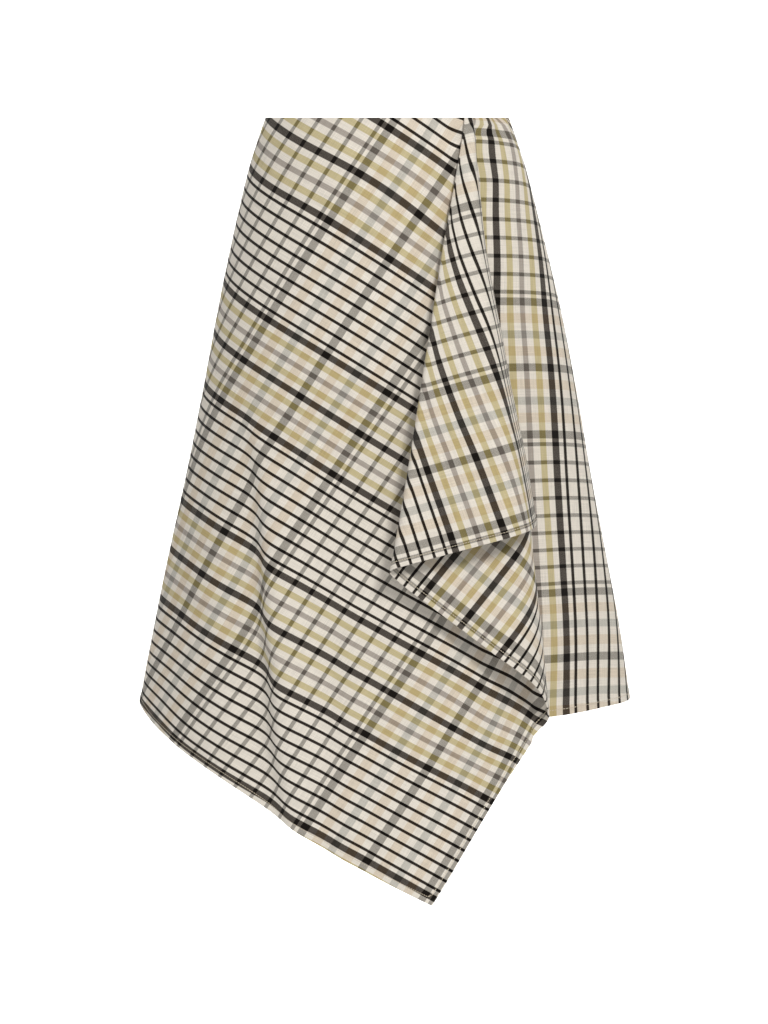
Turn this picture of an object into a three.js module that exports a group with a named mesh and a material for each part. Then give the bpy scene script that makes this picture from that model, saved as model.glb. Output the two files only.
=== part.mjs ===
// Draped wrap midi skirt, filled out as if worn, in millimetres.
// Up is +Z and the front faces -Y. The origin is the centre of the waist opening.
// Angles go round the body from centre front, positive towards +X. Drops are measured down from the waist.

import * as THREE from 'three';

// Cloth
const clothThickness = 1.2;
const seamGap = 0.3;
const clothColour = 0xbdb299;
const clothRoughness = 0.9;

// Form: an elliptical cone through the waist, eased out over the hips, with a slight lean to one side
const waistHalfWidth = 136;
const waistHalfDepth = 94;
const coneHeight = 626;
const hemDrop = 655;
const sideSeamAngle = 96;
const hipTable = [
  { drop: 0, ease: 1.0, lean: 0 },
  { drop: 20, ease: 1.021, lean: 0 },
  { drop: 50, ease: 1.042, lean: 0.3 },
  { drop: 100, ease: 1.0535, lean: 0.8 },
  { drop: 150, ease: 1.058, lean: 1.5 },
  { drop: 200, ease: 1.058, lean: 2.4 },
  { drop: 300, ease: 1.043, lean: 3 },
  { drop: 400, ease: 1.0265, lean: 1.8 },
  { drop: 500, ease: 1.0195, lean: 0.4 },
  { drop: 560, ease: 1.0145, lean: 0 },
  { drop: 650, ease: 1.0, lean: -2 },
];

// Lower edge of the drape: the slanting hem, the square corner and the end edge
const cornerAngle = 9.6;
const drapeHemTable = [
  { angle: -96, drop: 657 },
  { angle: -84, drop: 662 },
  { angle: -68, drop: 678.5 },
  { angle: -58, drop: 689 },
  { angle: -45, drop: 707.5 },
  { angle: -35, drop: 727 },
  { angle: -19, drop: 768.5 },
  { angle: -5, drop: 807 },
  { angle: cornerAngle, drop: 847.5 },
  { angle: 18, drop: 782 },
  { angle: 26.2, drop: 725 },
  { angle: 35.3, drop: 676 },
];

// Cascade: all its folds run out from one point, just above the waist edge
const pointHeight = 16.5;
const pointAngle = 41.9;
const frontEndAngle = 35.3;
const frontEndDrop = 650;
const endEdgeDistance = 455;
const layerTurn = 1.4;
const pathStep = 0.05;

// Turning of the cloth round the point: ray is the angle from the square corner's warp line,
// heading is the cloth's direction in plan, 0 to the viewer's right and 90 to the front
const pathTable = [
  { ray: 50.9, heading: -28.4, columns: 0 },
  { ray: 49.0, heading: 90, columns: 7 },
  { ray: 47.2, heading: 112, columns: 2 },
  { ray: 42.8, heading: 176, columns: 4 },
  { ray: 33.5, heading: 170, columns: 3 },
  { ray: 30.4, heading: 148, columns: 2 },
  { ray: 29.6, heading: 140, columns: 1 },
  { ray: 27.5, heading: 2, columns: 8 },
  { ray: 15.6, heading: 4, columns: 4 },
  { ray: 12.4, heading: -50, columns: 4 },
  { ray: 10.7, heading: -74, columns: 2 },
  { ray: 3.6, heading: -84, columns: 3 },
];

// Bias stretch of the end edge along the rays
const reachTable = [
  { ray: 0, share: 1.022 },
  { ray: 8, share: 1.028 },
  { ray: 15, share: 1.033 },
  { ray: 28, share: 1.015 },
  { ray: 35, share: 1.006 },
  { ray: 42, share: 0.998 },
  { ray: 49, share: 0.98 },
  { ray: 51, share: 0.969 },
];

// The worn cascade is drawn in below the waist: how far its right side lies to the left at a drop
const drawTable = [
  { drop: 0, left: 0 },
  { drop: 20, left: 2 },
  { drop: 50, left: 7 },
  { drop: 90, left: 10.5 },
  { drop: 125, left: 13.5 },
  { drop: 190, left: 14.5 },
  { drop: 230, left: 13 },
  { drop: 270, left: 11.5 },
  { drop: 320, left: 8 },
  { drop: 360, left: 4 },
  { drop: 400, left: 1.5 },
  { drop: 440, left: 0 },
];

// Share of that draw along the rays, and the station of the front part where it starts
const drawShareTable = [
  { ray: 3.6, share: 1 },
  { ray: 20, share: 1 },
  { ray: 25, share: 0.75 },
  { ray: 28.8, share: 0.35 },
  { ray: 33.5, share: 0.35 },
  { ray: 42.8, share: 0.85 },
  { ray: 47.2, share: 1 },
  { ray: 50.9, share: 1 },
];
const drawStart = 22;

// The draw follows the form round: its part to the front for each part to the left
const drawToFront = 0.5;

// Ripple of the drape, left of centre: a trough and a ridge with a steep flank between them
const rippleReach = 18;
const rippleTable = [
  { drop: 303, angle: -46.5, height: 0 },
  { drop: 341, angle: -44.5, height: 3 },
  { drop: 401, angle: -39.1, height: 8 },
  { drop: 481, angle: -34.1, height: 12 },
  { drop: 540, angle: -31.7, height: 13.5 },
  { drop: 601, angle: -28.4, height: 14 },
  { drop: 662, angle: -26.3, height: 12 },
  { drop: 753, angle: -21.8, height: 8 },
];

// Soft flutes that grow from a starting drop to the hem
const drapeFlutes = [
  { angle: -66, width: 13, height: -5, start: 220 },
  { angle: 6, width: 12, height: 5, start: 330 },
];
const underFlutes = [
  { angle: 62, width: 8, height: -4, start: 200 },
  { angle: 79, width: 7, height: 3, start: 260 },
];
const backFlutes = [
  { angle: 118, width: 10, height: 9, start: 150 },
  { angle: 143, width: 9, height: -8, start: 230 },
  { angle: 166, width: 11, height: 9, start: 190 },
  { angle: 191, width: 9, height: -7, start: 280 },
  { angle: 213, width: 10, height: 10, start: 170 },
  { angle: 238, width: 8, height: -6, start: 250 },
];

// Under front: how far it lies inside the drape, and its hidden free edge
const underDepth = 2.8;
const underLeftAngle = -20;
const underRiseStart = 50;
const underRiseEnd = 74;

// Divisions
const drapeRows = 18;
const plainRows = 14;
const underColumns = 26;
const backColumns = 38;

// Linear value of a column of a table at a place along another column
function lookUp(table, key, value, at) {
  const down = table[0][key] > table[table.length - 1][key];
  const rows = down ? [...table].reverse() : table;
  if (at <= rows[0][key]) {
    return rows[0][value];
  }
  for (let i = 1; i < rows.length; i += 1) {
    if (at <= rows[i][key]) {
      const share = (at - rows[i - 1][key]) / (rows[i][key] - rows[i - 1][key]);
      return rows[i - 1][value] + share * (rows[i][value] - rows[i - 1][value]);
    }
  }
  return rows[rows.length - 1][value];
}

function radians(degrees) {
  return (degrees * Math.PI) / 180;
}

function smooth(share) {
  const s = Math.min(1, Math.max(0, share));
  return s * s * (3 - 2 * s);
}

// A point of the plain cone, before the ease and the lean
function conePoint(angle, drop) {
  const scale = 1 + drop / coneHeight;
  const x = waistHalfWidth * scale * Math.sin(radians(angle));
  const y = -waistHalfDepth * scale * Math.cos(radians(angle));
  return new THREE.Vector3(x, y, -drop);
}

function easeOverHips(point) {
  const ease = lookUp(hipTable, 'drop', 'ease', -point.z);
  const lean = lookUp(hipTable, 'drop', 'lean', -point.z);
  return new THREE.Vector3(point.x * ease + lean, point.y * ease, point.z);
}

// Horizontal outward direction of the form at an angle
function outward(angle) {
  const x = Math.sin(radians(angle)) / waistHalfWidth;
  const y = -Math.cos(radians(angle)) / waistHalfDepth;
  return new THREE.Vector3(x, y, 0).normalize();
}

// Millimetres round the form for one degree
function roundPerDegree(angle, drop) {
  const across = waistHalfWidth * Math.cos(radians(angle));
  const along = waistHalfDepth * Math.sin(radians(angle));
  return radians(1) * Math.hypot(across, along) * (1 + drop / coneHeight);
}

// Height of a list of flutes at a place
function fluteHeight(flutes, angle, drop) {
  let height = 0;
  for (const flute of flutes) {
    const away = (angle - flute.angle) / flute.width;
    const growth = smooth((drop - flute.start) / (hemDrop - flute.start));
    height += flute.height * growth * Math.exp(-away * away);
  }
  return height;
}

// Height of the ripple at a place: trough to the left of the flank, ridge to the right
function rippleHeight(angle, drop) {
  const centre = lookUp(rippleTable, 'drop', 'angle', drop);
  const height = lookUp(rippleTable, 'drop', 'height', drop);
  const away = ((angle - centre) * roundPerDegree(angle, drop)) / rippleReach;
  const fall = Math.exp((1 - Math.pow(Math.abs(away), 1.4)) / 1.4);
  return height * away * fall;
}

// A point of the filled-out form, moved out by a height
function formPoint(angle, drop, height) {
  const point = easeOverHips(conePoint(angle, drop));
  return point.addScaledVector(outward(angle), height);
}

// Wall of cloth from a grid of points at mid thickness, columns to the viewer's right and rows down
function clothWall(name, columns) {
  const rows = columns[0].length;
  const vertices = [];
  const index = [];
  const half = clothThickness / 2;
  const at = (i, j) => {
    const column = columns[Math.min(columns.length - 1, Math.max(0, i))];
    return column[Math.min(rows - 1, Math.max(0, j))];
  };
  for (const side of [1, -1]) {
    for (let i = 0; i < columns.length; i += 1) {
      for (let j = 0; j < rows; j += 1) {
        const across = at(i + 1, j).clone().sub(at(i - 1, j));
        const down = at(i, j + 1).clone().sub(at(i, j - 1));
        const normal = down.cross(across).normalize();
        const point = at(i, j).clone().addScaledVector(normal, side * half);
        vertices.push(point.x, point.y, point.z);
      }
    }
  }
  const inner = columns.length * rows;
  const outerId = (i, j) => i * rows + j;
  const innerId = (i, j) => inner + i * rows + j;
  const quad = (a, b, c, d) => index.push(a, b, c, a, c, d);
  for (let i = 0; i + 1 < columns.length; i += 1) {
    for (let j = 0; j + 1 < rows; j += 1) {
      quad(outerId(i, j), outerId(i, j + 1), outerId(i + 1, j + 1), outerId(i + 1, j));
      quad(innerId(i, j), innerId(i + 1, j), innerId(i + 1, j + 1), innerId(i, j + 1));
    }
    quad(outerId(i, 0), outerId(i + 1, 0), innerId(i + 1, 0), innerId(i, 0));
    const last = rows - 1;
    quad(outerId(i, last), innerId(i, last), innerId(i + 1, last), outerId(i + 1, last));
  }
  const end = columns.length - 1;
  for (let j = 0; j + 1 < rows; j += 1) {
    quad(outerId(0, j), innerId(0, j), innerId(0, j + 1), outerId(0, j + 1));
    quad(outerId(end, j), outerId(end, j + 1), innerId(end, j + 1), innerId(end, j));
  }
  const geometry = new THREE.BufferGeometry();
  geometry.setAttribute('position', new THREE.Float32BufferAttribute(vertices, 3));
  geometry.setIndex(index);
  geometry.computeVertexNormals();
  const material = new THREE.MeshStandardMaterial({
    color: clothColour,
    roughness: clothRoughness,
    metalness: 0,
  });
  const mesh = new THREE.Mesh(geometry, material);
  mesh.name = name;
  return mesh;
}

// The point that the folds run out from, and the directions round it
const foldPoint = conePoint(pointAngle, -pointHeight);
const firstRay = conePoint(frontEndAngle, frontEndDrop).sub(foldPoint).normalize();
const toRight = new THREE.Vector3(1, 0, 0);
toRight.addScaledVector(firstRay, -firstRay.x).normalize();
const toFront = firstRay.clone().cross(toRight).normalize();

// Walk round the folds: place of each ray in plan, and the room that the layers take
function walkFolds() {
  const walk = [];
  const first = pathTable[0].ray;
  const last = pathTable[pathTable.length - 1].ray;
  const steps = Math.round((first - last) / pathStep);
  let right = 0;
  let front = 0;
  let layerRight = 0;
  let layerFront = 0;
  let before = pathTable[0].heading;
  for (let i = 0; i <= steps; i += 1) {
    const ray = first - ((first - last) * i) / steps;
    const heading = lookUp(pathTable, 'ray', 'heading', ray);
    const middle = radians((heading + before) / 2);
    const advance = i === 0 ? 0 : radians((first - last) / steps);
    const turned = Math.abs(radians(heading - before)) * layerTurn;
    right += advance * Math.cos(middle);
    front += advance * Math.sin(middle);
    layerRight += turned * Math.cos(middle);
    layerFront += turned * Math.sin(middle);
    walk.push({ ray, right, front, layerRight, layerFront });
    before = heading;
  }
  return walk;
}

const foldWalk = walkFolds();

// A point of the cascade at a ray and a distance along it
function cascadePoint(ray, distance) {
  const right = lookUp(foldWalk, 'ray', 'right', ray);
  const front = lookUp(foldWalk, 'ray', 'front', ray);
  const away = Math.hypot(right, front);
  const spread = away > 0 ? Math.sin(away) / away : 1;
  const point = foldPoint.clone();
  point.addScaledVector(firstRay, distance * Math.cos(away));
  point.addScaledVector(toRight, distance * right * spread);
  point.addScaledVector(toFront, distance * front * spread);
  const placed = easeOverHips(point);
  placed.x += lookUp(foldWalk, 'ray', 'layerRight', ray);
  placed.y -= lookUp(foldWalk, 'ray', 'layerFront', ray);
  const draw = lookUp(drawTable, 'drop', 'left', -placed.z);
  const share = lookUp(drawShareTable, 'ray', 'share', ray);
  placed.x -= draw * share;
  placed.y -= draw * share * drawToFront;
  return placed;
}

// Distance along a ray down to the waist level
function waistDistance(ray) {
  const right = lookUp(foldWalk, 'ray', 'right', ray);
  const front = lookUp(foldWalk, 'ray', 'front', ray);
  const away = Math.hypot(right, front);
  const spread = away > 0 ? Math.sin(away) / away : 1;
  const fall = firstRay.z * Math.cos(away);
  return -pointHeight / (fall + (toRight.z * right + toFront.z * front) * spread);
}

// Right end of the front part of the drape at a drop, which is the first ray
function frontEndAt(drop) {
  const along = (pointHeight + drop) / -firstRay.z;
  const x = foldPoint.x + firstRay.x * along;
  const sine = x / (waistHalfWidth * (1 + drop / coneHeight));
  return (Math.asin(sine) * 180) / Math.PI;
}

// Shares of a row from top to bottom, a little closer at the top where the hips round out
function rowShare(j, rows) {
  const share = j / (rows - 1);
  return 0.8 * share + 0.2 * share * share;
}

function drapeFrontColumn(station) {
  const column = [];
  const hem = lookUp(drapeHemTable, 'angle', 'drop', station);
  const left = -sideSeamAngle;
  for (let j = 0; j < drapeRows; j += 1) {
    const drop = hem * rowShare(j, drapeRows);
    const spread = (frontEndAt(drop) - left) / (frontEndAngle - left);
    const seam = (seamGap / 2 / roundPerDegree(left, drop)) * (station === left ? 1 : 0);
    const angle = left + (station - left) * spread + seam;
    const fade = 1 - smooth((station - 24) / (frontEndAngle - 24));
    const height = rippleHeight(angle, drop) + fluteHeight(drapeFlutes, angle, drop) * fade;
    const point = formPoint(angle, drop, height);
    const share = smooth((station - drawStart) / (frontEndAngle - drawStart));
    const draw = lookUp(drawTable, 'drop', 'left', drop) * share;
    point.x -= draw;
    point.y -= draw * drawToFront;
    column.push(point);
  }
  return column;
}

function cascadeColumn(ray) {
  const column = [];
  const start = waistDistance(ray);
  const stretch = lookUp(reachTable, 'ray', 'share', ray);
  const end = (endEdgeDistance * stretch) / Math.cos(radians(ray));
  for (let j = 0; j < drapeRows; j += 1) {
    const share = rowShare(j, drapeRows);
    column.push(cascadePoint(ray, start + (end - start) * share));
  }
  return column;
}

// Stations of the front part of the drape, closer together where the ripple runs
function frontStations() {
  const stations = [];
  const spans = [
    { from: -sideSeamAngle, to: -56, parts: 10 },
    { from: -56, to: -12, parts: 22 },
    { from: -12, to: cornerAngle, parts: 5 },
    { from: cornerAngle, to: 33, parts: 6 },
  ];
  for (const span of spans) {
    for (let i = 0; i < span.parts; i += 1) {
      stations.push(span.from + ((span.to - span.from) * i) / span.parts);
    }
  }
  stations.push(33);
  return stations;
}

function makeDrape() {
  const columns = frontStations().map((station) => drapeFrontColumn(station));
  columns.push(cascadeColumn(pathTable[0].ray));
  for (let i = 1; i < pathTable.length; i += 1) {
    const before = pathTable[i - 1].ray;
    const span = pathTable[i].ray - before;
    for (let k = 1; k <= pathTable[i].columns; k += 1) {
      columns.push(cascadeColumn(before + (span * k) / pathTable[i].columns));
    }
  }
  return clothWall('front_drape', columns);
}

function makePlainPanel(name, from, to, parts, heightAt) {
  const columns = [];
  for (let i = 0; i <= parts; i += 1) {
    const column = [];
    for (let j = 0; j < plainRows; j += 1) {
      const drop = hemDrop * rowShare(j, plainRows);
      const half = seamGap / 2 / roundPerDegree(sideSeamAngle, drop);
      const low = from + half;
      const high = to - half;
      const angle = low + ((high - low) * i) / parts;
      column.push(formPoint(angle, drop, heightAt(angle, drop)));
    }
    columns.push(column);
  }
  return clothWall(name, columns);
}

function underHeight(angle, drop) {
  const rise = smooth((angle - underRiseStart) / (underRiseEnd - underRiseStart));
  return fluteHeight(underFlutes, angle, drop) - underDepth * (1 - rise);
}

function backHeight(angle, drop) {
  return fluteHeight(backFlutes, angle, drop);
}

const backEndAngle = 360 - sideSeamAngle;
const group = new THREE.Group();
group.name = 'draped_wrap_skirt';
group.add(makeDrape());
group.add(makePlainPanel('under_front', underLeftAngle, sideSeamAngle, underColumns, underHeight));
group.add(makePlainPanel('back', sideSeamAngle, backEndAngle, backColumns, backHeight));

export default group;
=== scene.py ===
"""Draped wrap midi skirt in a woven check, filled out as if worn.

The shape functions work in millimetres and degrees. Drops are measured down from the waist, and angles
go round the body from centre front, positive towards +X. Meshes are made in metres.
"""

import math

import bpy
import numpy as np
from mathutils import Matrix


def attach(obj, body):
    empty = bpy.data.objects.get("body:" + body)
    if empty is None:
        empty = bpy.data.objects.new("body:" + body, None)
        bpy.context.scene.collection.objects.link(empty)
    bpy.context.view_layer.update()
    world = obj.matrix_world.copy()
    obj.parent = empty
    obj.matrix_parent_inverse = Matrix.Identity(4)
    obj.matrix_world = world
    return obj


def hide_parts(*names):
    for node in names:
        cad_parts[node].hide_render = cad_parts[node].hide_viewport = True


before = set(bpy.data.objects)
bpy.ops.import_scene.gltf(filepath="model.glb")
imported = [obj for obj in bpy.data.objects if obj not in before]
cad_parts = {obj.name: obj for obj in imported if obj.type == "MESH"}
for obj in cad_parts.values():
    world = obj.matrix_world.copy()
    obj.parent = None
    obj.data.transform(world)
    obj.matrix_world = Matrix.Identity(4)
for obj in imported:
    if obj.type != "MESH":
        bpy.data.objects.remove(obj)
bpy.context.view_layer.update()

MM = 0.001
PER_METRE = 1000.0

# Cloth: its thickness, and the doubled hem's width, extra half thickness and the step where it ends
CLOTH_THICKNESS = 0.9
HEM_WIDTH = 9.5
HEM_EXTRA = 0.35
HEM_STEP_PAST = 0.5
HEM_STEP_REACH = 1.2
EDGE_HALF_THICKNESS = 0.12

# Side seams: the gap between two panels, and how deep and how far their edges turn in
SEAM_GAP = 0.3
SEAM_TURN = 1.3
SEAM_TURN_REACH = 2.2

# Form: an elliptical cone through the waist, eased out over the hips, with a slight lean to one side
WAIST_HALF_WIDTH = 136
WAIST_HALF_DEPTH = 94
CONE_HEIGHT = 626
HEM_DROP = 655
SIDE_SEAM = 96
HIPS = {
    "drop": [0, 20, 50, 100, 150, 200, 300, 400, 500, 560, 650],
    "ease": [1.0, 1.021, 1.042, 1.0535, 1.058, 1.058, 1.043, 1.0265, 1.0195, 1.0145, 1.0],
    "lean": [0, 0, 0.3, 0.8, 1.5, 2.4, 3, 1.8, 0.4, 0, -2],
}

# Lower edge of the drape: the slanting hem, the square corner and the end edge
CORNER_ANGLE = 9.6
SLANTING_HEM = {
    "angle": [-96, -84, -68, -58, -45, -35, -19, -5, CORNER_ANGLE],
    "drop": [657, 662, 678.5, 689, 707.5, 727, 768.5, 807, 847.5],
}
END_EDGE = {
    "angle": [CORNER_ANGLE, 18, 26.2, 35.3],
    "drop": [847.5, 782, 725, 676],
}

# Cascade: its folds run out from one point, just above the waist edge, and the front part of the drape
# ends at the first ray. The flutes fade from END_FADE_START on, a radian of turning takes LAYER_TURN of
# room for the layers, and PATH_STEP is the step of the walk round the point, in degrees
POINT_HEIGHT = 16.5
POINT_ANGLE = 41.9
FRONT_END_ANGLE = 35.3
FRONT_END_DROP = 650
END_EDGE_DISTANCE = 455
END_FADE_START = 24
LAYER_TURN = 1.4
PATH_STEP = 0.05

# Turning of the cloth round the point: ray is the angle from the square corner's warp line, heading is
# the cloth's direction in plan, 0 to the viewer's right and 90 to the front
PATH = {
    "ray": [50.9, 49.0, 47.2, 42.8, 33.5, 30.4, 29.6, 27.5, 15.6, 12.4, 10.7, 3.6],
    "heading": [-28.4, 90, 112, 176, 170, 148, 140, 2, 4, -50, -74, -84],
    "columns": [0, 20, 8, 12, 7, 7, 4, 24, 10, 12, 5, 7],
}
REACH = {
    "ray": [0, 8, 15, 28, 35, 42, 49, 51],
    "share": [1.022, 1.028, 1.033, 1.015, 1.006, 0.998, 0.98, 0.969],
}

# The worn cascade is drawn in below the waist: how far its right side lies to the left at a drop, the
# share of that draw along the rays, and the station of the front part where it starts
DRAW = {
    "drop": [0, 20, 50, 90, 125, 190, 230, 270, 320, 360, 400, 440],
    "left": [0, 2, 7, 10.5, 13.5, 14.5, 13, 11.5, 8, 4, 1.5, 0],
}
DRAW_SHARE = {
    "ray": [3.6, 20, 25, 28.8, 33.5, 42.8, 47.2, 50.9],
    "share": [1, 1, 0.75, 0.35, 0.35, 0.85, 1, 1],
}
DRAW_START = 22
DRAW_TO_FRONT = 0.5

# Ripple of the drape, left of centre: a trough and a ridge with a steep flank between them
RIPPLE_REACH = 18
RIPPLE_POWER = 1.4
RIPPLE = {
    "drop": [303, 341, 401, 481, 540, 601, 662, 753, 830],
    "angle": [-46.5, -44.5, -39.1, -34.1, -31.7, -28.4, -26.3, -21.8, -18],
    "height": [0, 2.5, 5.5, 9, 10.8, 11.5, 10, 5.5, 3],
}

# Soft flutes: place, half width, height, the drop where each starts and where it is full
DRAPE_FLUTES = [
    (-66, 13, -5, 220, HEM_DROP),
    (6, 12, 5, 330, HEM_DROP),
    (-8.5, 3.0, 2.3, 430, 620),
    (-13, 3.6, -1.4, 460, 640),
    (-84, 6, 1.8, 300, 600),
    (18, 5, -1.5, 150, 420),
]
UNDER_FLUTES = [
    (62, 8, -4, 200, HEM_DROP),
    (79, 7, 3, 260, HEM_DROP),
    (52, 4, -1.2, 90, 400),
]
BACK_FLUTES = [
    (118, 10, 9, 150, HEM_DROP),
    (143, 9, -8, 230, HEM_DROP),
    (166, 11, 9, 190, HEM_DROP),
    (191, 9, -7, 280, HEM_DROP),
    (213, 10, 10, 170, HEM_DROP),
    (238, 8, -6, 250, HEM_DROP),
    (130, 4, 1.5, 320, 600),
    (178, 5, -1.8, 260, 520),
    (226, 4, 1.6, 360, 620),
    (154, 4, -1.2, 90, 330),
    (203, 4, 1.3, 120, 360),
]

# Tucks that the wrap pulls in below the waist: place, half width, height, and the drop where it ends
UNDER_TUCKS = [
    (54, 3.2, 1.8, 55),
    (63, 3.6, -2.2, 70),
    (72, 3.0, 1.6, 48),
    (81, 3.4, -1.4, 60),
]
DRAPE_TUCKS = [
    (24, 3.0, -1.0, 60),
    (31, 2.6, 1.2, 90),
    (-88, 3.0, -0.9, 60),
]
BACK_TUCKS = [
    (112, 3.0, -1.2, 50),
    (158, 3.6, -1.0, 70),
    (201, 3.4, -1.1, 60),
    (247, 3.0, -1.2, 50),
]

# Under front: how far it lies inside the drape, and its hidden free edge
UNDER_DEPTH = 2.8
UNDER_LEFT = -20
UNDER_RISE_START = 50
UNDER_RISE_END = 74

# Where the check lies: the drape is unrolled about the fold point, whose warp and weft places are known.
# Its first fold, up to FIRST_SLACK_START, takes up a little less cloth than its rays span
POINT_WEFT = 455
POINT_WARP = 772
FIRST_RAY = 50.9
FIRST_SLACK = 0.6
FIRST_SLACK_START = 48.4

# Slip of the upper flap's cloth towards its end edge, by the cloth's place across from the point
CASCADE_SLIP = {
    "across": [0, 30, 61, 99, 180, 285, 361, 399, 437, 455],
    "slip": [0, 5, 7.5, 10, 8.5, 5.5, 4.5, 3, 1, 0],
}
FLAP_START = 31
FLAP_BLEND = 4

# How far the worn cloth has slipped from its unrolled place, along the warp count, at four angles
SLIP_ANGLES = (-84, -50, -5, 30)
WARP_SLIP = {
    0: (-24, -18.5, -9, -7),
    60: (-25, -22, -12.5, -11),
    130: (-25, -23, -20, -22),
    220: (-26, -23, -22, -25),
    400: (-35, -20, -18.5, -18),
    500: (-37, -20, -13, -8),
    600: (-36, -18, -7.5, 0),
    662: (-25, -15, -3.5, 2),
    710: (-22, -10, 0, 9),
    850: (-20, -8, 10, 14),
}

# Slip along the weft count: towards the left side seam, with its growth down the skirt, everywhere, and
# near the end edge. From SLIP_BLEND_START on, the counts of the front part go over to the cascade's
WEFT_SLIP_SIDE = {"angle": [-96, -84, -68, -50, -30], "slip": [42, 32, 19, 6, 0]}
WEFT_SLIP_GROWTH = {"drop": [0, 200, 300, 500, 700], "share": [0.4, 0.5, 0.9, 1.0, 1.2]}
WEFT_SLIP = 5
EDGE_SLIP = 6
EDGE_SLIP_REACH = 60
SLIP_BLEND_START = 22

# Straight-grain panels. The under front lies by one dark line of its check: how far that line is beside
# its unrolled place, and what its weft count adds to the unrolled height. The shares are the cloth that
# a millimetre of the form takes to the line's left and right
UNDER_LINE_WARP = 241
UNDER_LINE = {
    "drop": [0, 12, 25, 67, 107, 155, 210, 280, 421, 574, 655],
    "across": [-25, -4, 6, 4.5, 0, -2.6, -6, -3, 1.5, 2.5, -0.5],
    "up": [132, 131.5, 131, 132.5, 134.5, 134, 132, 129, 126, 114.5, 115],
}
UNDER_SHARES = {
    "drop": [0, 5, 12, 25, 70, 150, 210, 280, 655],
    "left": [1.53, 1.3, 0.98, 0.83, 0.83, 0.82, 0.79, 0.74, 0.74],
    "right": [0.76, 0.76, 0.76, 0.76, 0.76, 0.74, 0.7, 0.66, 0.65],
}
UNDER_LINE_ANGLE = 48.9
UNDER_LINE_DROP = 572.9
UNDER_GRAIN = 2.9
BACK_WARP_AT_CENTRE = 220
BACK_WEFT_AT_HEM = 31

# Divisions: rows down a column, columns round each panel, their crowding at its sides, and the places
# where the cone is unrolled
BODY_ROWS = 126
EDGE_STEPS = (20, 16.5, 13.5, 11.5, 10.2, 9.2, 7.5, 5, 3, 1.6, 0.8, 0.3, 0)
TOP_STEPS = (0, 0.3, 0.8, 1.6, 3)
DRAPE_SPANS = (
    (-SIDE_SEAM, -90, 14),
    (-90, -52, 34),
    (-52, -10, 76),
    (-10, CORNER_ANGLE, 22),
    (CORNER_ANGLE, 34.6, 32),
)
UNDER_COLUMNS = 110
BACK_COLUMNS = 210
COLUMN_CROWDING = 0.028
UNROLLED_SPAN = (-140, 270)
UNROLLED_PLACES = 4101

# Step over which the lower edge's slope is taken, in degrees, and the distance from the edge that is
# given to the cloth past the end edge
SLOPE_STEP = 0.5
PAST_END_EDGE = 3


def smooth(share):
    """Smooth step from 0 to 1."""
    s = np.clip(share, 0, 1)
    return s * s * (3 - 2 * s)


def look_up(table, key, value, at):
    """Linear value of one column of a table at places along another, in either order of rows."""
    keys = np.asarray(table[key], float)
    values = np.asarray(table[value], float)
    if keys[0] > keys[-1]:
        keys, values = keys[::-1], values[::-1]
    return np.interp(at, keys, values)


def find_span(keys, at):
    """Span of the rows that each place falls in, its length, and the place's share of it."""
    place = np.clip(at, keys[0], keys[-1])
    i = np.clip(np.searchsorted(keys, place, side="right") - 1, 0, len(keys) - 2)
    span = keys[i + 1] - keys[i]
    return i, span, (place - keys[i]) / span


def cubic(s, span, first, first_slope, last, last_slope):
    """Value at a share of a span, from the values and slopes at its ends."""
    start = (2 * s**3 - 3 * s**2 + 1) * first + (s**3 - 2 * s**2 + s) * span * first_slope
    end = (3 * s**2 - 2 * s**3) * last + (s**3 - s**2) * span * last_slope
    return start + end


def curve_through(keys, values, at):
    """Smooth value at places along a curve through the rows, level outside them."""
    keys = np.asarray(keys, float)
    values = np.asarray(values, float)
    slopes = np.gradient(values, keys)
    i, span, s = find_span(keys, at)
    return cubic(s, span, values[i], slopes[i], values[i + 1], slopes[i + 1])


def smooth_look_up(table, key, value, at):
    return curve_through(table[key], table[value], at)


def cone_point(angle, drop):
    """Points of the plain cone, before the ease and the lean."""
    scale = 1 + drop / CONE_HEIGHT
    t = np.radians(angle)
    x = WAIST_HALF_WIDTH * scale * np.sin(t)
    y = -WAIST_HALF_DEPTH * scale * np.cos(t)
    return np.stack(np.broadcast_arrays(x, y, -drop), -1)


def ease_over_hips(points):
    """Points of the cone moved out over the hips and to the side by the lean."""
    ease = smooth_look_up(HIPS, "drop", "ease", -points[..., 2])
    lean = smooth_look_up(HIPS, "drop", "lean", -points[..., 2])
    return np.stack([points[..., 0] * ease + lean, points[..., 1] * ease, points[..., 2]], -1)


def outward(angle):
    """Horizontal outward direction of the form."""
    t = np.radians(angle)
    across = np.stack([np.sin(t) / WAIST_HALF_WIDTH, -np.cos(t) / WAIST_HALF_DEPTH, 0 * t], -1)
    return across / np.linalg.norm(across, axis=-1, keepdims=True)


def round_per_degree(angle, drop):
    """Millimetres round the form for one degree."""
    t = np.radians(angle)
    size = np.hypot(WAIST_HALF_WIDTH * np.cos(t), WAIST_HALF_DEPTH * np.sin(t))
    return math.radians(1) * size * (1 + drop / CONE_HEIGHT)


def flute_height(flutes, angle, drop):
    """Height of the flutes, which grow down the skirt."""
    height = 0
    for place, width, size, start, full in flutes:
        away = (angle - place) / width
        height = height + size * smooth((drop - start) / (full - start)) * np.exp(-(away**2))
    return height


def tuck_height(tucks, angle, drop):
    """Height of the tucks, which fade down from the waist."""
    height = 0
    for place, width, size, gone in tucks:
        away = (angle - place) / width
        height = height + size * smooth(1 - drop / gone) * np.exp(-(away**2))
    return height


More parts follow.
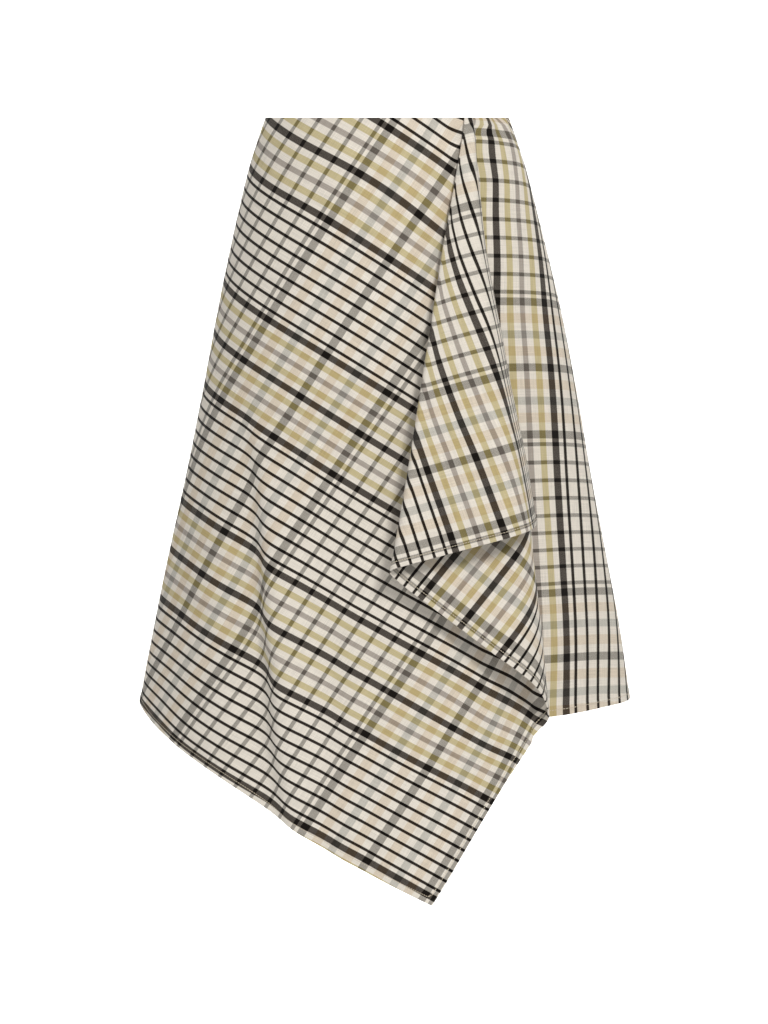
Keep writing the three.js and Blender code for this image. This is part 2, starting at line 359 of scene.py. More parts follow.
def ripple_height(angle, drop):
    """Height of the ripple: a trough to the left of the flank and a ridge to the right."""
    centre = smooth_look_up(RIPPLE, "drop", "angle", drop)
    height = smooth_look_up(RIPPLE, "drop", "height", drop)
    away = (angle - centre) * round_per_degree(angle, drop) / RIPPLE_REACH
    return height * away * np.exp((1 - np.abs(away) ** RIPPLE_POWER) / RIPPLE_POWER)


def form_point(angle, drop, height):
    """Points at a height above the form."""
    return ease_over_hips(cone_point(angle, drop)) + outward(angle) * height[..., None]


def seam_turn(angle, drop, seam_angle):
    """How far the edge of a panel turns in at its sewn side seam."""
    away = np.abs(angle - seam_angle) * round_per_degree(angle, drop)
    return -SEAM_TURN * np.exp(-((away / SEAM_TURN_REACH) ** 2))


class Unrolled:
    """The plain cone laid out flat: places on the sheet, in millimetres."""

    def __init__(self):
        self.angles = np.linspace(*UNROLLED_SPAN, UNROLLED_PLACES)
        rim = cone_point(self.angles, np.zeros_like(self.angles)) - np.array([0, 0, CONE_HEIGHT])
        self.lengths = np.linalg.norm(rim, axis=1)
        unit = rim / self.lengths[:, None]
        turns = np.linalg.norm(np.diff(unit, axis=0), axis=1)
        self.turned = np.concatenate([[0], np.cumsum(turns)])
        self.turned -= np.interp(0, self.angles, self.turned)

    def place(self, angle, drop):
        turn = np.interp(angle, self.angles, self.turned)
        reach = np.interp(angle, self.angles, self.lengths) * (1 + drop / CONE_HEIGHT)
        return np.stack([reach * np.sin(turn), -reach * np.cos(turn)], -1)


unrolled = Unrolled()

# The point that the folds run out from, and the directions round it
fold_point = cone_point(POINT_ANGLE, -POINT_HEIGHT)
first_end = cone_point(FRONT_END_ANGLE, FRONT_END_DROP)
first_ray = (first_end - fold_point) / np.linalg.norm(first_end - fold_point)
to_right = np.array([1.0, 0, 0])
to_right = to_right - (to_right @ first_ray) * first_ray
to_right = to_right / np.linalg.norm(to_right)
to_front = np.cross(first_ray, to_right)


def walk_folds():
    """Place of each ray in plan, and the room that the layers take, as a table."""
    first, last = PATH["ray"][0], PATH["ray"][-1]
    steps = round((first - last) / PATH_STEP)
    rays = np.linspace(first, last, steps + 1)
    heading = look_up(PATH, "ray", "heading", rays)
    middle = np.radians((heading[1:] + heading[:-1]) / 2)
    advance = math.radians((first - last) / steps)
    turned = np.abs(np.radians(np.diff(heading))) * LAYER_TURN

    def total(steps_taken):
        return np.concatenate([[0], np.cumsum(steps_taken)])

    return {
        "ray": rays,
        "right": total(advance * np.cos(middle)),
        "front": total(advance * np.sin(middle)),
        "layer_right": total(turned * np.cos(middle)),
        "layer_front": total(turned * np.sin(middle)),
    }


fold_walk = walk_folds()


def ray_direction(ray):
    """Direction of a ray from the point."""
    right = look_up(fold_walk, "ray", "right", ray)
    front = look_up(fold_walk, "ray", "front", ray)
    away = math.hypot(right, front)
    spread = math.sin(away) / away if away > 0 else 1
    return math.cos(away) * first_ray + spread * (right * to_right + front * to_front)


def cascade_points(ray, distances):
    """Points of the cascade along one ray."""
    points = fold_point + distances[:, None] * ray_direction(ray)
    placed = ease_over_hips(points)
    placed[:, 0] += look_up(fold_walk, "ray", "layer_right", ray)
    placed[:, 1] -= look_up(fold_walk, "ray", "layer_front", ray)
    draw = smooth_look_up(DRAW, "drop", "left", -placed[:, 2])
    draw = draw * look_up(DRAW_SHARE, "ray", "share", ray)
    placed[:, 0] -= draw
    placed[:, 1] -= draw * DRAW_TO_FRONT
    return placed


def along_first_ray(drop):
    """Distance from the point along the first ray, down to a drop."""
    return (POINT_HEIGHT + drop) / -first_ray[2]


def front_end_at(drop):
    """Right end of the front part of the drape at a drop, which is the first ray."""
    x = fold_point[0] + first_ray[0] * along_first_ray(drop)
    return np.degrees(np.arcsin(x / (WAIST_HALF_WIDTH * (1 + drop / CONE_HEIGHT))))


def row_places(length, edge_stretch):
    """Distances down a column: close together at the top, even down the body, and close at the edge."""
    edge = np.asarray(EDGE_STEPS) * edge_stretch
    body = np.linspace(TOP_STEPS[-1], length - edge[0], BODY_ROWS)
    return np.concatenate([TOP_STEPS[:-1], body, length - edge[1:]])


def hem_at(station):
    """Drop of the drape's lower edge at a station, and the stretch of its steps along the column."""
    table = SLANTING_HEM if station <= CORNER_ANGLE else END_EDGE
    drop = float(smooth_look_up(table, "angle", "drop", station))
    near = float(smooth_look_up(table, "angle", "drop", station + SLOPE_STEP))
    slope = (near - drop) / (SLOPE_STEP * float(round_per_degree(station, drop)))
    return drop, math.hypot(1, slope)


def warp_slip(angle, drop):
    """Slip along the warp count, smooth down the rows and across the angles."""
    drops = sorted(WARP_SLIP)
    columns = []
    for k in range(len(SLIP_ANGLES)):
        columns.append(curve_through(drops, [WARP_SLIP[d][k] for d in drops], drop))
    stack = np.stack(columns, -1)
    keys = np.asarray(SLIP_ANGLES, float)
    slopes = np.gradient(stack, keys, axis=-1)
    i, span, s = find_span(keys, angle)

    def pick(values, k):
        return np.take_along_axis(values, k[..., None], -1)[..., 0]

    return cubic(s, span, pick(stack, i), pick(slopes, i), pick(stack, i + 1), pick(slopes, i + 1))


def drape_check(angle, drop, ripple_excess):
    """Weft and warp counts of the drape's cloth at places on the form."""
    origin = unrolled.place(POINT_ANGLE, -POINT_HEIGHT)
    end = unrolled.place(FRONT_END_ANGLE, FRONT_END_DROP)
    along = (end - origin) / np.linalg.norm(end - origin)
    left = np.array([along[1], -along[0]])
    away = unrolled.place(angle, drop) - origin
    ray = math.radians(FIRST_RAY)
    down = away @ along
    side = away @ left
    weft = POINT_WEFT - (down * math.cos(ray) - side * math.sin(ray))
    warp = POINT_WARP - (down * math.sin(ray) + side * math.cos(ray))
    turn = ray + np.interp(FRONT_END_ANGLE, unrolled.angles, unrolled.turned)
    turn = turn - np.interp(angle, unrolled.angles, unrolled.turned)
    weft = weft + np.sin(turn) * ripple_excess
    warp = warp - np.cos(turn) * ripple_excess
    side_slip = smooth_look_up(WEFT_SLIP_SIDE, "angle", "slip", angle)
    side_slip = side_slip * smooth_look_up(WEFT_SLIP_GROWTH, "drop", "share", drop)
    weft = weft - WEFT_SLIP - side_slip
    weft = weft - EDGE_SLIP * smooth(1 - weft / EDGE_SLIP_REACH)
    return weft, warp - warp_slip(angle, drop)


def cascade_check(ray, distances):
    """Weft and warp counts of the cascade; its first fold takes up less cloth than its rays span."""
    slack = FIRST_SLACK * float(smooth((ray - FIRST_SLACK_START) / (FIRST_RAY - FIRST_SLACK_START)))
    across = distances * math.cos(math.radians(ray)) / look_up(REACH, "ray", "share", ray)
    slip = smooth_look_up(CASCADE_SLIP, "across", "slip", across)
    slip = slip * smooth((FLAP_START - ray) / FLAP_BLEND)
    return POINT_WEFT - across + slip, POINT_WARP - across * math.tan(math.radians(ray - slack))


def drape_front():
    """Columns of the front part of the drape: points, weft and warp counts, distance from the lower
    edge, and place along it."""
    stations = [-SIDE_SEAM]
    for start, end, parts in DRAPE_SPANS:
        stations += [start + (end - start) * k / parts for k in range(1, parts + 1)]
    angles, drops = [], []
    left = -SIDE_SEAM
    for station in stations:
        hem, stretch = hem_at(station)
        drop = row_places(hem, stretch)
        spread = (front_end_at(drop) - left) / (FRONT_END_ANGLE - left)
        gap = SEAM_GAP / 2 / round_per_degree(left, drop) if station == left else 0
        angles.append(left + (station - left) * spread + gap)
        drops.append(drop)
    angle, drop = np.array(angles), np.array(drops)

    def towards_end(start):
        """Share from a station to the end of the front part."""
        return smooth((np.array(stations) - start) / (FRONT_END_ANGLE - start))[:, None]

    fade = 1 - towards_end(END_FADE_START)
    ripple = ripple_height(angle, drop)
    flutes = flute_height(DRAPE_FLUTES, angle, drop) + tuck_height(DRAPE_TUCKS, angle, drop)
    height = ripple + flutes * fade
    height = height + seam_turn(angle, drop, left)
    per_degree = round_per_degree(angle, drop)
    run = np.diff(angle, axis=0) * (per_degree[1:] + per_degree[:-1]) / 2
    extra = np.hypot(run, np.diff(ripple, axis=0)) - run
    excess = np.zeros_like(angle)
    excess[:-1] = np.cumsum(extra[::-1], axis=0)[::-1]
    weft, warp = drape_check(angle, drop, excess)
    blend = towards_end(SLIP_BLEND_START)
    end_drop = drop[-1]
    end_weft, end_warp = cascade_check(FIRST_RAY, along_first_ray(end_drop))
    plain_weft, plain_warp = drape_check(front_end_at(end_drop), end_drop, np.zeros_like(end_drop))
    weft = weft + blend * (end_weft - plain_weft)
    warp = warp + blend * (end_warp - plain_warp)
    from_end = weft - weft[:, -1:]
    from_hem = warp - warp[:, -1:]
    slanting = (np.array(stations) <= CORNER_ANGLE)[:, None]
    above_hem = np.minimum(from_hem, np.where(weft < 0, PAST_END_EDGE, weft))
    beside_end = np.minimum(from_end, np.maximum(warp, 0))
    edge = np.where(slanting, above_hem, beside_end)
    seam = np.where(slanting, weft, warp)
    points = form_point(angle, drop, height)
    draw = smooth_look_up(DRAW, "drop", "left", drop) * towards_end(DRAW_START)
    points[..., 0] -= draw
    points[..., 1] -= draw * DRAW_TO_FRONT
    return points, weft, warp, edge, seam


def waist_distance(ray):
    """Distance from the point down to the waist edge along a ray."""
    return -POINT_HEIGHT / ray_direction(ray)[2]


def cascade_rays():
    """Rays of the cascade's columns, closer together round its folds."""
    rays = [PATH["ray"][0]]
    for i in range(1, len(PATH["ray"])):
        before, after, parts = PATH["ray"][i - 1], PATH["ray"][i], PATH["columns"][i]
        rays += [before + (after - before) * k / parts for k in range(1, parts + 1)]
    return rays


def cascade():
    """Columns of the cascade, as in drape_front."""
    points, wefts, warps = [], [], []
    for ray in cascade_rays():
        start = waist_distance(ray)
        cosine = math.cos(math.radians(ray))
        end = END_EDGE_DISTANCE * look_up(REACH, "ray", "share", ray) / cosine
        distances = start + row_places(end - start, 1 / cosine)
        points.append(cascade_points(ray, distances))
        weft, warp = cascade_check(ray, distances)
        wefts.append(weft)
        warps.append(warp)
    weft, warp = np.array(wefts), np.array(warps)
    return np.array(points), weft, warp, weft - weft[:, -1:], warp


def plain_panel(left, right, columns, flutes, tucks, inside):
    """Columns of a panel that lies on the form: points, angles and drops."""
    rows = row_places(HEM_DROP, 1)
    drop = np.broadcast_to(rows, (columns + 1, len(rows)))
    half = SEAM_GAP / 2 / round_per_degree(SIDE_SEAM, drop)
    share = np.linspace(0, 1, columns + 1)[:, None]
    share = share - np.sin(2 * math.pi * share) * COLUMN_CROWDING
    angle = (left + half) * (1 - share) + (right - half) * share
    height = flute_height(flutes, angle, drop) + tuck_height(tucks, angle, drop) + inside(angle)
    for seam_angle in (SIDE_SEAM, 360 - SIDE_SEAM):
        height = height + seam_turn(angle, drop, seam_angle)
    return form_point(angle, drop, height), angle, drop


def under_inside(angle):
    """Height of the under front, which lies inside the drape and rises to the form beside it."""
    rise = smooth((angle - UNDER_RISE_START) / (UNDER_RISE_END - UNDER_RISE_START))
    return -UNDER_DEPTH * (1 - rise)


def no_inside(angle):
    """Height of a panel that lies on the form itself."""
    return 0 * angle


def under_check(angle, drop):
    """Weft and warp counts of the under front, whose warp hangs straight down."""
    origin = unrolled.place(UNDER_LINE_ANGLE, UNDER_LINE_DROP)
    grain = math.radians(UNDER_GRAIN)
    across = np.array([math.cos(grain), math.sin(grain)])
    up = np.array([-math.sin(grain), math.cos(grain)])
    away = unrolled.place(angle, drop) - origin
    line = smooth_look_up(UNDER_LINE, "drop", "across", drop)
    beside = away @ across - line
    left_share = smooth_look_up(UNDER_SHARES, "drop", "left", drop)
    right_share = smooth_look_up(UNDER_SHARES, "drop", "right", drop)
    warp = UNDER_LINE_WARP + left_share * np.minimum(beside, 0) + right_share * np.maximum(beside, 0)
    return smooth_look_up(UNDER_LINE, "drop", "up", drop) + away @ up, warp


def back_check(angle, drop):
    """Weft and warp counts of the back, whose warp hangs straight down at the centre."""
    centre = np.interp(180, unrolled.angles, unrolled.turned)
    turn = np.interp(angle, unrolled.angles, unrolled.turned) - centre
    reach = np.interp(angle, unrolled.angles, unrolled.lengths) * (1 + drop / CONE_HEIGHT)
    hem = np.interp(180, unrolled.angles, unrolled.lengths) * (1 + HEM_DROP / CONE_HEIGHT)
    return BACK_WEFT_AT_HEM + hem - reach * np.cos(turn), BACK_WARP_AT_CENTRE + reach * np.sin(turn)


def edge_profile(edge, top):
    """Half thickness of the cloth: doubled at the hem, and rounded off at the very edge."""
    half = CLOTH_THICKNESS / 2 + HEM_EXTRA * smooth((HEM_WIDTH + HEM_STEP_PAST - edge) / HEM_STEP_REACH)
    nearest = np.minimum(edge, top)
    into = np.clip(1 - nearest / half, 0, 1)
    return np.maximum(half * np.sqrt(1 - into**2), EDGE_HALF_THICKNESS)


def cloth_mesh(name, points, weft, warp, edge, seam, material):
    """Closed shell of cloth from a grid of middle points: columns to the right, and rows down.

    Edge is the distance from the lower edge, and seam the place along it, for the stitches.
    """
    columns, rows = points.shape[:2]
    across = np.empty_like(points)
    across[1:-1] = points[2:] - points[:-2]
    across[0], across[-1] = points[1] - points[0], points[-1] - points[-2]
    down = np.empty_like(points)
    down[:, 1:-1] = points[:, 2:] - points[:, :-2]
    down[:, 0], down[:, -1] = points[:, 1] - points[:, 0], points[:, -1] - points[:, -2]
    normal = np.cross(down, across)
    normal /= np.linalg.norm(normal, axis=-1, keepdims=True)
    top = np.cumsum(np.linalg.norm(np.diff(points, axis=1), axis=-1), axis=1)
    top = np.concatenate([np.zeros((columns, 1)), top], axis=1)
    half = edge_profile(edge, top)[..., None]
    sides = np.stack([points + normal * half, points - normal * half])
    ids = np.arange(2 * columns * rows).reshape(2, columns, rows)
    outer, inner = ids[0], ids[1]

    def quads(a, b, c, d):
        return np.stack([a, b, c, d], -1).reshape(-1, 4)

    faces = np.concatenate([
        quads(outer[:-1, :-1], outer[:-1, 1:], outer[1:, 1:], outer[1:, :-1]),
        quads(inner[:-1, :-1], inner[1:, :-1], inner[1:, 1:], inner[:-1, 1:]),
        quads(outer[:-1, 0], outer[1:, 0], inner[1:, 0], inner[:-1, 0]),
        quads(outer[:-1, -1], inner[:-1, -1], inner[1:, -1], outer[1:, -1]),
        quads(outer[0, :-1], inner[0, :-1], inner[0, 1:], outer[0, 1:]),
        quads(outer[-1, :-1], outer[-1, 1:], inner[-1, 1:], inner[-1, :-1]),
    ])
    mesh = bpy.data.meshes.new(name)
    mesh.from_pydata((sides.reshape(-1, 3) * MM).tolist(), [], faces.tolist())
    mesh.polygons.foreach_set("use_smooth", np.ones(len(faces), dtype=bool))
    corners = faces.reshape(-1) % (columns * rows)
    for layer_name, u, v in (("cloth", weft, warp), ("edge", seam, edge)):
        layer = mesh.uv_layers.new(name=layer_name)
        pairs = np.stack([u.reshape(-1)[corners], v.reshape(-1)[corners]], -1) * MM
        layer.data.foreach_set("uv", pairs.astype(np.float32).reshape(-1))
    mesh.materials.append(material)
    mesh.update()
    piece = bpy.data.objects.new(name, mesh)
    bpy.context.scene.collection.objects.link(piece)
    return piece


# Check of the cloth, in millimetres of cloth: after how much its stripes repeat, and where the warp's
# repeat starts
WARP_REPEAT = 232
WARP_START = 133
WEFT_REPEAT = 338

# Yarn colours, as display values
CREAM = (0.92, 0.89, 0.84)
BLACK = (0.03, 0.01, 0.0)
OLIVE = (0.69, 0.62, 0.37)
GREY = (0.49, 0.45, 0.42)
SLATE = (0.27, 0.262, 0.24)
PALE = (0.62, 0.62, 0.59)
TAN = (0.825, 0.745, 0.635)

# Yarns: pitch, how much of the warp shows, and how much more where it lies on top or runs close. The
# yarn colours are mixed as display values, and the gamma takes the mix to linear ones
YARN_PITCH = 0.62
WARP_SHARE = 0.55
WEAVE_SHARE = 0.22
CLOSE_SHARES = {"narrow": 0.28, "dark": 0.13}
DISPLAY_GAMMA = 2.2

# Slub: noise drawn out along the yarns, how far it moves a stripe's edge, and how it lightens a yarn
SLUB_ACROSS = 1.6
SLUB_ALONG = 0.035
SLUB_DETAIL = 2.0
STRIPE_WANDER = 0.5
STRIPE_SOFTNESS = 0.35
SLUB_RANGE = (0.25, 0.75)
SLUB_LIGHT = (0.84, 1.056)
# Painted light and shade on the plain weave: how much darker the yarn crossings are in the dips, and how
# much lighter on top
WEAVE_PAINTED_LIGHT = (0.86, 1.06)

# Hem stitching: a thread along the hem, and the cloth that it pulls in on either side
STITCH_FROM_EDGE = 7.0
STITCH_HALF_WIDTH = 0.42
STITCH_PITCH = 2.9
STITCH_LENGTH = 2.1
STITCH_COLOUR = (0.58, 0.50, 0.38)
STITCH_COVER = 0.8
PULL_OUTER = 1.6
PULL_INNER = 0.2

# Relief of the surface, in millimetres, and how strongly it bends the light
RELIEF = {"weave": 0.05, "crumple": 0.9, "slub": 0.05, "pull": 0.18, "stitch": 0.2}
RELIEF_STRENGTH = 0.8
CRUMPLE_SCALE = 22.0
CRUMPLE_DETAIL = 3.0

# Surface of the cloth, by the names of the shader's inputs
COTTON_SURFACE = {
    "Roughness": 0.86,
    "Specular IOR Level": 0.1,
    "Sheen Weight": 0.06,
    "Sheen Roughness": 0.5,
}

# Groups of warp stripes: name, yarn, first line from the start of the repeat, pitch, count, line width
WARP_STRIPES = (
    ("dark", BLACK, 0, 54, 3, 7.2),
    ("olive", OLIVE, 13.5, 54, 2, 6.8),
    ("olive", OLIVE, 40.5, 54, 2, 6.8),
    ("grey", GREY, 27, 54, 2, 5.6),
    ("narrow", BLACK, 118, 13, 9, 3.15),
)

# Groups of weft stripes, in the same order, counted from the end edge
WEFT_STRIPES = (
    ("wide", SLATE, 18, 76, 3, 9.0),
    ("pale", PALE, 56, 76, 2, 9.0),
    ("tan", TAN, 37, 38, 4, 11.0),
    ("thin", SLATE, 181, 20.5, 9, 4.4),
)


class Nodes:
    """Short calls for a material's node tree. Places along the cloth are in metres there."""

    def __init__(self, material):
        self.tree = material.node_tree

    def add(self, kind, **settings):
        node = self.tree.nodes.new(kind)
        for key, value in settings.items():
            setattr(node, key, value)
        return node

    def link(self, start, end):
        self.tree.links.new(start, end)

    def math(self, operation, *values):
        node = self.add("ShaderNodeMath", operation=operation)
        for socket, value in zip(node.inputs, values):
            if isinstance(value, (int, float)):
                socket.default_value = value
            else:
                self.link(value, socket)
        return node.outputs[0]

    def sum(self, *values):
        """Sum of the values, from the left."""
        total = values[0]
        for value in values[1:]:
            total = self.math("ADD", total, value)
        return total

    def times(self, value, factor):
        """Product of two values."""
        return self.math("MULTIPLY", value, factor)

    def map_range(self, value, start, end):
        """Value carried in a straight line from one range to the other."""
        mapped = self.add("ShaderNodeMapRange")
        for name, number in zip(("From Min", "From Max", "To Min", "To Max"), (*start, *end)):
            mapped.inputs[name].default_value = number
        self.link(value, mapped.inputs["Value"])
        return mapped.outputs["Result"]

    def rise(self, value, low, high):
        """Smooth step from 0 at the low end to 1 at the high end."""
        step = self.add("ShaderNodeMapRange", interpolation_type="SMOOTHSTEP")
        step.inputs["From Min"].default_value = low
        step.inputs["From Max"].default_value = high
        self.link(value, step.inputs["Value"])
        return step.outputs["Result"]

    def scaled(self, colour, factor):
        """Colour made lighter or darker by a factor."""
        scale = self.add("ShaderNodeVectorMath", operation="SCALE")
        self.link(colour, scale.inputs[0])
        self.link(factor, scale.inputs["Scale"])
        return scale.outputs["Vector"]

    def noise(self, vector, scale, detail):
        """Noise from 0 to 1."""
        texture = self.add("ShaderNodeTexNoise")
        texture.inputs["Scale"].default_value = scale
        texture.inputs["Detail"].default_value = detail
        self.link(vector, texture.inputs["Vector"])
        return texture.outputs["Fac"]

    def streaks(self, across, along):
        """Noise drawn out along the yarns."""
        stretched = self.add("ShaderNodeCombineXYZ")
        self.link(self.times(across, SLUB_ACROSS), stretched.inputs["X"])
        self.link(self.times(along, SLUB_ALONG), stretched.inputs["Y"])
        return self.noise(stretched.outputs["Vector"], 1.0, SLUB_DETAIL)

    def uv_places(self, layer):
        """Both places of a UV layer, in millimetres, and its vector in metres."""
        places = self.add("ShaderNodeUVMap", uv_map=layer)
        split = self.add("ShaderNodeSeparateXYZ")
        self.link(places.outputs["UV"], split.inputs["Vector"])
        x = self.times(split.outputs["X"], PER_METRE)
        y = self.times(split.outputs["Y"], PER_METRE)
        return x, y, places.outputs["UV"]

    def stripes(self, place, repeat, first, pitch, count, width):
        """Mask of a group of parallel lines, 1 on them: place, repeat and sizes in millimetres."""
        inside = self.math("FLOORED_MODULO", self.math("SUBTRACT", place, first - pitch / 2), repeat)
        within = self.math("LESS_THAN", inside, pitch * count)
        step = self.math("FLOORED_MODULO", inside, pitch)
        away = self.math("ABSOLUTE", self.math("SUBTRACT", step, pitch / 2))
        soft = self.rise(away, width / 2 + STRIPE_SOFTNESS, width / 2 - STRIPE_SOFTNESS)
        return self.math("MULTIPLY", soft, within)

    def blend(self, base, colour, mask):
        """Base where the mask is 0 and colour where it is 1."""
        mix = self.add("ShaderNodeMix", data_type="RGBA")
        self.link(mask, mix.inputs["Factor"])
        for value, socket in ((base, mix.inputs["A"]), (colour, mix.inputs["B"])):
            if isinstance(value, tuple):
                socket.default_value = (*value, 1)
            else:
                self.link(value, socket)
        return mix.outputs["Result"]


def cloth_material(name):
    """Woven check with yarn, slub, hem stitching and sheen, from the cloth's own places."""
    material = bpy.data.materials.new(name)
    material.use_nodes = True
    nodes = Nodes(material)
    shader = material.node_tree.nodes["Principled BSDF"]
    weft, warp, cloth_place = nodes.uv_places("cloth")

    def wander(place, slub):
        """Place moved a little by the slub of the yarns that cross it."""
        return nodes.sum(place, nodes.times(nodes.math("SUBTRACT", slub, 0.5), STRIPE_WANDER))

    warp_slub = nodes.streaks(warp, weft)
    weft_slub = nodes.streaks(weft, warp)
    warp_wander = wander(warp, weft_slub)
    weft_wander = wander(weft, warp_slub)

    # Plain weave: yarns over and under each other, and the dark lines' warp yarns run close
    over_warp = nodes.math("SINE", nodes.times(warp, 2 * math.pi / YARN_PITCH))
    over_weft = nodes.math("SINE", nodes.times(weft, 2 * math.pi / YARN_PITCH))
    weave = nodes.times(over_warp, over_weft)
    warp_shows = nodes.sum(nodes.times(weave, WEAVE_SHARE), WARP_SHARE)
    warp_colour = CREAM
    for group, yarn, first, *sizes in WARP_STRIPES:
        mask = nodes.stripes(warp_wander, WARP_REPEAT, WARP_START + first, *sizes)
        warp_colour = nodes.blend(warp_colour, yarn, mask)
        if group in CLOSE_SHARES:
            warp_shows = nodes.sum(warp_shows, nodes.times(mask, CLOSE_SHARES[group]))
    weft_colour = CREAM
    for _, yarn, *sizes in WEFT_STRIPES:
        mask = nodes.stripes(weft_wander, WEFT_REPEAT, *sizes)
        weft_colour = nodes.blend(weft_colour, yarn, mask)

    linear = nodes.add("ShaderNodeGamma")
    linear.inputs["Gamma"].default_value = DISPLAY_GAMMA
    nodes.link(nodes.blend(weft_colour, warp_colour, warp_shows), linear.inputs["Color"])
    colour = linear.outputs["Color"]

    # Yarns that run a little lighter or darker than their neighbours, and painted light and shade on the
    # weave: crossings darker in the dips and lighter on top
    for slub in (warp_slub, weft_slub):
        colour = nodes.scaled(colour, nodes.map_range(slub, SLUB_RANGE, SLUB_LIGHT))
    colour = nodes.scaled(colour, nodes.map_range(weave, (-1, 1), WEAVE_PAINTED_LIGHT))

    # Stitches along the hem
    along, inward, _ = nodes.uv_places("edge")
    from_line = nodes.math("ABSOLUTE", nodes.math("SUBTRACT", inward, STITCH_FROM_EDGE))
    on_line = nodes.math("LESS_THAN", from_line, STITCH_HALF_WIDTH)
    step = nodes.math("FLOORED_MODULO", along, STITCH_PITCH)
    stitch = nodes.times(on_line, nodes.math("LESS_THAN", step, STITCH_LENGTH))
    colour = nodes.blend(colour, STITCH_COLOUR, nodes.times(stitch, STITCH_COVER))
    nodes.link(colour, shader.inputs["Base Color"])

    pull = nodes.rise(from_line, PULL_OUTER, PULL_INNER)
    crumple = nodes.noise(cloth_place, CRUMPLE_SCALE, CRUMPLE_DETAIL)
    height = nodes.sum(
        nodes.times(weave, RELIEF["weave"]),
        nodes.times(crumple, RELIEF["crumple"]),
        nodes.times(warp_slub, RELIEF["slub"]),
        nodes.times(weft_slub, RELIEF["slub"]),
        nodes.times(pull, -RELIEF["pull"]),
        nodes.times(stitch, RELIEF["stitch"]),
    )
    bump = nodes.add("ShaderNodeBump")
    bump.inputs["Strength"].default_value = RELIEF_STRENGTH
    bump.inputs["Distance"].default_value = MM
    nodes.link(height, bump.inputs["Height"])
    nodes.link(bump.outputs["Normal"], shader.inputs["Normal"])
    for socket, value in COTTON_SURFACE.items():
        shader.inputs[socket].default_value = value
    return material


cotton = cloth_material("checked_cotton")

front = drape_front()
folds = cascade()
drape_parts = [np.concatenate([a, b]) for a, b in zip(front, folds)]
drape = cloth_mesh("Drape", *drape_parts, cotton)

under_points, under_angle, under_drop = plain_panel(
    UNDER_LEFT, SIDE_SEAM, UNDER_COLUMNS, UNDER_FLUTES, UNDER_TUCKS, under_inside
)
under_weft, under_warp = under_check(under_angle, under_drop)
under_edge = HEM_DROP - under_drop
under = cloth_mesh("Under_Front", under_points, under_weft, under_warp, under_edge, under_warp, cotton)

back_points, back_angle, back_drop = plain_panel(
    SIDE_SEAM, 360 - SIDE_SEAM, BACK_COLUMNS, BACK_FLUTES, BACK_TUCKS, no_inside
)
back_weft, back_warp = back_check(back_angle, back_drop)
back_edge = HEM_DROP - back_drop
back = cloth_mesh("Back", back_points, back_weft, back_warp, back_edge, back_warp, cotton)

for piece, node in ((drape, "front_drape"), (under, "under_front"), (back, "back")):
    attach(piece, "root")
    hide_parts(node)

# Studio: pale floor that sweeps up behind, well below the hanging skirt, and soft light from the front
FLOOR_HEIGHT = -1.75
BACKDROP_DISTANCE = 7.0
SWEEP_RADIUS = 1.5
SWEEP_PARTS = 24
STAGE_HALF_WIDTH = 6.0
STAGE_FRONT = -6.0
STAGE_TOP = 5.0
FLOOR_COLOUR = (0.93, 0.93, 0.93)
FLOOR_ROUGHNESS = 0.95

# Lights: name, place, what each is aimed at, its two sides, power in watts and colour
LIGHTS = (
    ("Key", (1.2, -3.4, 1.8), (0, 0, -0.45), (0.8, 0.8), 103, (1, 0.98, 0.955)),
    ("Fill", (-2.6, -3.4, 0.4), (0, 0, -0.4), (2.4, 2.4), 22, (0.98, 0.99, 1)),
    ("Backdrop", (0, 1.1, 2.6), (0, 1.4, -1.05), (4.5, 1.0), 52, (1, 1, 1)),
    ("Backdrop_Far", (0, 4.4, 2.6), (0, 6.4, -1.2), (7.0, 1.6), 420, (1, 1, 1)),
)
WORLD_COLOUR = (1, 1, 1)
WORLD_STRENGTH = 0.35


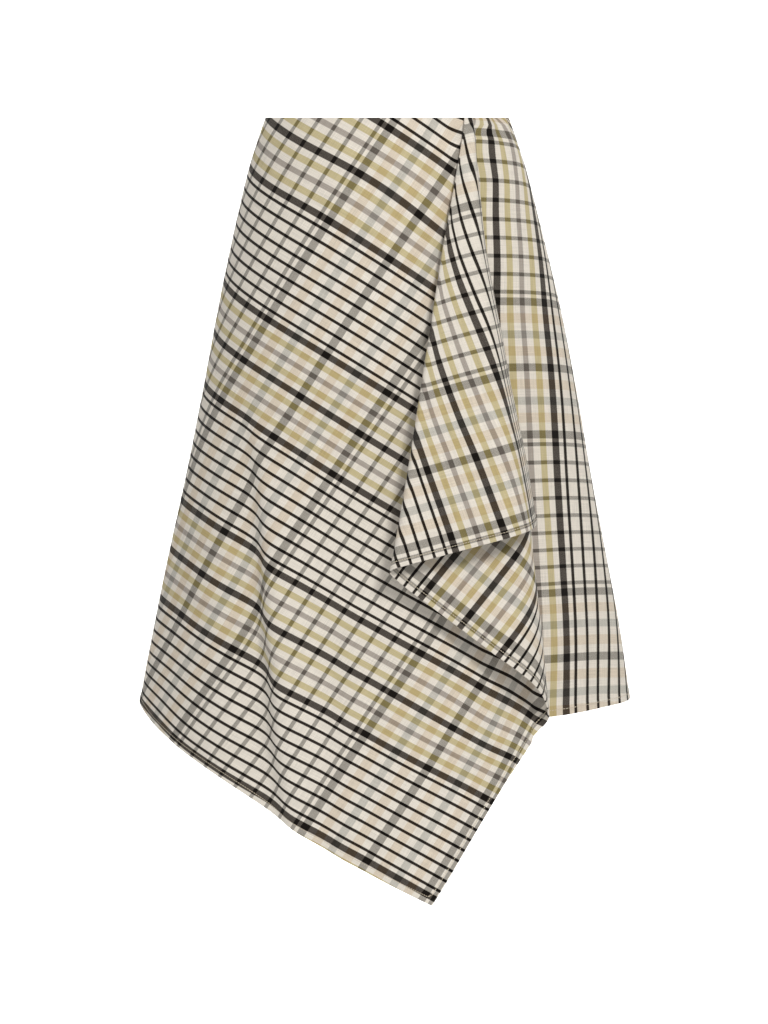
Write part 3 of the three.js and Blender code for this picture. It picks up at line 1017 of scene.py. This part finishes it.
def make_backdrop():
    """Floor and wall in one piece, with a rounded sweep between them."""
    sweep_start = BACKDROP_DISTANCE - SWEEP_RADIUS
    profile = [(STAGE_FRONT, FLOOR_HEIGHT), (sweep_start, FLOOR_HEIGHT)]
    for k in range(1, SWEEP_PARTS + 1):
        turn = math.radians(90 * k / SWEEP_PARTS)
        y = sweep_start + SWEEP_RADIUS * math.sin(turn)
        z = FLOOR_HEIGHT + SWEEP_RADIUS * (1 - math.cos(turn))
        profile.append((y, z))
    profile.append((BACKDROP_DISTANCE, STAGE_TOP))
    vertices = [(x, y, z) for x in (-STAGE_HALF_WIDTH, STAGE_HALF_WIDTH) for y, z in profile]
    count = len(profile)
    faces = [(k, k + 1, count + k + 1, count + k) for k in range(count - 1)]
    mesh = bpy.data.meshes.new("Floor")
    mesh.from_pydata(vertices, [], faces)
    mesh.polygons.foreach_set("use_smooth", np.ones(len(faces), dtype=bool))
    material = bpy.data.materials.new("pale_floor")
    material.use_nodes = True
    shader = material.node_tree.nodes["Principled BSDF"]
    shader.inputs["Base Color"].default_value = (*FLOOR_COLOUR, 1)
    shader.inputs["Roughness"].default_value = FLOOR_ROUGHNESS
    mesh.materials.append(material)
    floor = bpy.data.objects.new("Floor", mesh)
    bpy.context.scene.collection.objects.link(floor)
    return floor


make_backdrop()


def area_light(name, place, aim, size, power, colour):
    """Rectangular light, turned to face what it is aimed at."""
    light = bpy.data.lights.new(name, "AREA")
    light.shape = "RECTANGLE"
    light.size, light.size_y = size
    light.energy = power
    light.color = colour
    lamp = bpy.data.objects.new(name, light)
    lamp.location = place
    x, y, z = np.array(aim, float) - np.array(place, float)
    tilt = math.atan2(z, math.hypot(x, y))
    lamp.rotation_euler = (math.pi / 2 + tilt, 0, math.atan2(-x, y))
    bpy.context.scene.collection.objects.link(lamp)


for row in LIGHTS:
    area_light(*row)

world = bpy.data.worlds.new("Studio")
world.use_nodes = True
sky = world.node_tree.nodes["Background"]
sky.inputs["Color"].default_value = (*WORLD_COLOUR, 1)
sky.inputs["Strength"].default_value = WORLD_STRENGTH
bpy.context.scene.world = world
bpy.context.scene.view_settings.view_transform = "Standard"

# Camera at waist height, tilted down so that the skirt fills the frame: distances in metres, the tilt
# in degrees, the sensor in millimetres, and the focal length and the frame's long side in pixels
CAMERA_DISTANCE = 3.6
CAMERA_SIDE = -0.0034
CAMERA_TILT = 7.05
SENSOR_WIDTH = 36
FRAME_LONG_SIDE = 1024
FOCAL_PIXELS = 3190
camera_data = bpy.data.cameras.new("Camera")
camera_data.sensor_width = SENSOR_WIDTH
camera_data.lens = FOCAL_PIXELS * SENSOR_WIDTH / FRAME_LONG_SIDE
camera = bpy.data.objects.new("Camera", camera_data)
camera.location = (CAMERA_SIDE, -CAMERA_DISTANCE, 0)
camera.rotation_euler = (math.radians(90 - CAMERA_TILT), 0, 0)
bpy.context.scene.collection.objects.link(camera)
bpy.context.scene.camera = camera
